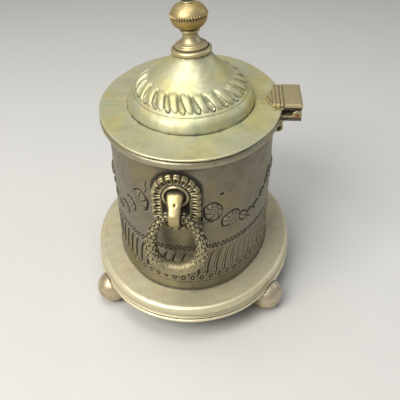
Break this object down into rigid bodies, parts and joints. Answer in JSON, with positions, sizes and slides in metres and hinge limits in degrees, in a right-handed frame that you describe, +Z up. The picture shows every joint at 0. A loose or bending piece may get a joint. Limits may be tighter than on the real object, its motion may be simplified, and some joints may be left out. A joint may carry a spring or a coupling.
{
  "type": "hinged lid box",
  "caption": "Oval pewter box with a hinged domed lid, a turned brass knob, a moulded stand on ball feet and a swinging ring handle at each end.",
  "frame": {"origin": "on the surface the box stands on, under the middle of its bounding box", "axes": "+Z up, +X to the right-hand ring handle, +Y to the lid's hinge, so -Y is the front"},
  "size_m": [0.1596, 0.1336, 0.1881],
  "materials": {
    "pewter_bright": "worn pewter, polished on its edges",
    "pewter_dark": "embossed pewter with dark oxide in its hollows",
    "pewter_lid": "satin pewter with faint scratches and spots",
    "brass_pale": "pale cast brass, worn and rubbed",
    "brass_warm": "warm brass, dulled",
    "brass_dull": "cast brass with dark oxide in its hollows",
    "copper_pin": "tarnished copper wire",
    "steel": "plain steel, dulled"
  },
  "bodies": {
    "drum": {"stand": "pewter_bright", "drum_wall": "pewter_dark", "drum_floor": "pewter_dark", "drum_rim": "pewter_bright", "foot_front_right": "pewter_bright", "foot_front_left": "pewter_bright", "foot_back_right": "pewter_bright", "foot_back_left": "pewter_bright", "hinge_drum_leaf": "brass_dull", "hinge_scroll": "brass_dull", "hinge_pin": "copper_pin", "rosette_right": "brass_dull", "rosette_left": "brass_dull", "hook_right": "brass_pale", "hook_left": "brass_pale", "hook_nuts": "brass_dull"},
    "lid": {"lid": "pewter_lid", "lid_bezel": "pewter_lid", "hinge_lid_leaf": "brass_pale", "knob_collar": "brass_pale", "knob_stem": "brass_pale", "knob_bowl": "brass_warm", "knob_cap": "brass_pale", "knob_button": "brass_pale", "knob_screw": "steel", "knob_washer": "steel", "knob_nut": "brass_dull"},
    "ring_right": {"ring_right": "brass_dull"},
    "ring_left": {"ring_left": "brass_dull"}
  },
  "joints": [
    {"name": "lid_hinge", "type": "hinge", "parent": "drum", "child": "lid", "pos_m": [0, 0.0618, 0.1237], "axis": [-1, 0, 0], "range_deg": [0, 100]},
    {"name": "ring_right_swing", "type": "hinge", "parent": "drum", "child": "ring_right", "pos_m": [0.0702, -0.0035, 0.0946], "axis": [0, -1, 0], "range_deg": [-3, 160]},
    {"name": "ring_left_swing", "type": "hinge", "parent": "drum", "child": "ring_left", "pos_m": [-0.0702, -0.0035, 0.0946], "axis": [0, 1, 0], "range_deg": [-3, 160]}
  ]
}
